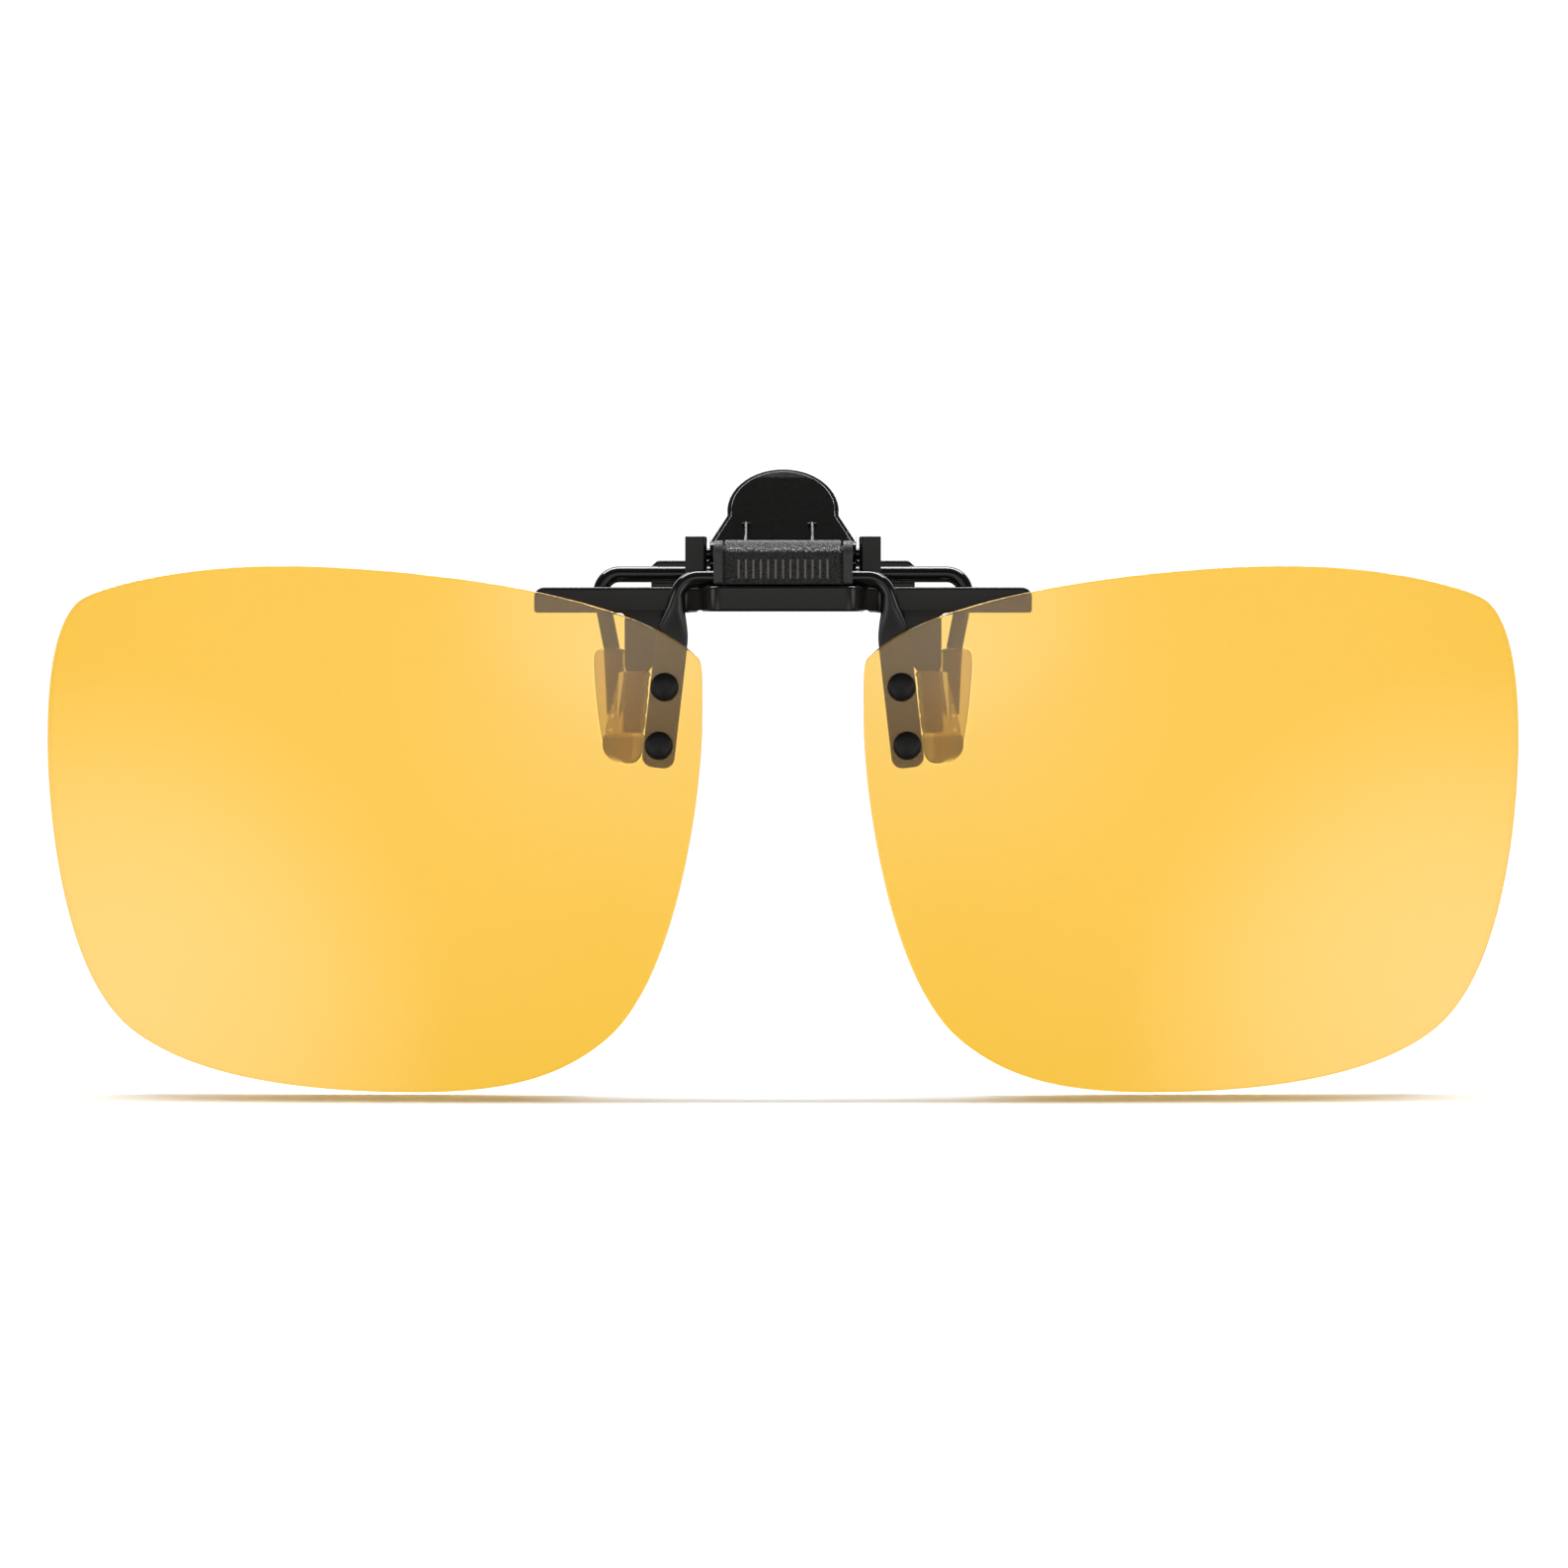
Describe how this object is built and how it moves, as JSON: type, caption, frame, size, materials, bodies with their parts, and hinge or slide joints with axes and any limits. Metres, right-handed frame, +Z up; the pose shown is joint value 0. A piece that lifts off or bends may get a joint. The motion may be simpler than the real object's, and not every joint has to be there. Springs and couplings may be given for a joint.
{
  "type": "clip on sunglasses",
  "caption": "Flip-up clip-on sunglasses: rimless amber lenses riveted to a bridge wire that turns in a hinge block, on a sprung bridge clamp with soft grip pads.",
  "frame": {"origin": "midway between the front and rear grip pads, on the middle plane, level with the underside of the base bar that sits on the eyeglasses", "axes": "+X to the wearer's left, +Y to the back towards the eyes, +Z up"},
  "size_m": [0.1364, 0.0177, 0.0582],
  "materials": {
    "amber_lens": "clear amber tinted sheet, polished both sides",
    "black_steel": "satin black paint",
    "gloss_black_steel": "gloss black paint",
    "black_rivet": "satin black domed head",
    "black_plastic": "moulded with a fine leather grain",
    "spring_steel": "blackened spring wire",
    "clear_silicone": "translucent moulded silicone",
    "clear_nylon": "clear thin washer"
  },
  "bodies": {
    "clamp_base": {"base_bar": "black_steel", "hinge_block": "black_plastic", "hinge_cover": "black_plastic", "detent_spring": "spring_steel", "hinge_pin": "black_steel", "torsion_spring": "spring_steel", "front_sleeve_left": "clear_silicone", "front_sleeve_right": "clear_silicone"},
    "lens_carrier": {"bridge_wire": "black_steel", "lens_left": "amber_lens", "lens_right": "amber_lens", "rivet_left_upper": "black_rivet", "rivet_left_lower": "black_rivet", "rivet_right_upper": "black_rivet", "rivet_right_lower": "black_rivet", "washer_left_upper": "clear_nylon", "washer_left_lower": "clear_nylon", "washer_right_upper": "clear_nylon", "washer_right_lower": "clear_nylon"},
    "clamp_lever": {"thumb_lever": "gloss_black_steel", "rear_wire": "black_steel", "rear_sleeve_left": "clear_silicone", "rear_sleeve_right": "clear_silicone"}
  },
  "joints": [
    {"name": "lens_flip", "type": "hinge", "parent": "clamp_base", "child": "lens_carrier", "pos_m": [0, -0.0037, 0.00317], "axis": [-1, 0, 0], "range_deg": [0, 90]},
    {"name": "clamp_squeeze", "type": "hinge", "parent": "clamp_base", "child": "clamp_lever", "pos_m": [0, 0.0002, 0.0055], "axis": [1, 0, 0], "range_deg": [0, 25], "stiffness_Nm_per_rad": 0.03, "springref_deg": -20.05, "deforming": ["torsion_spring"]}
  ]
}
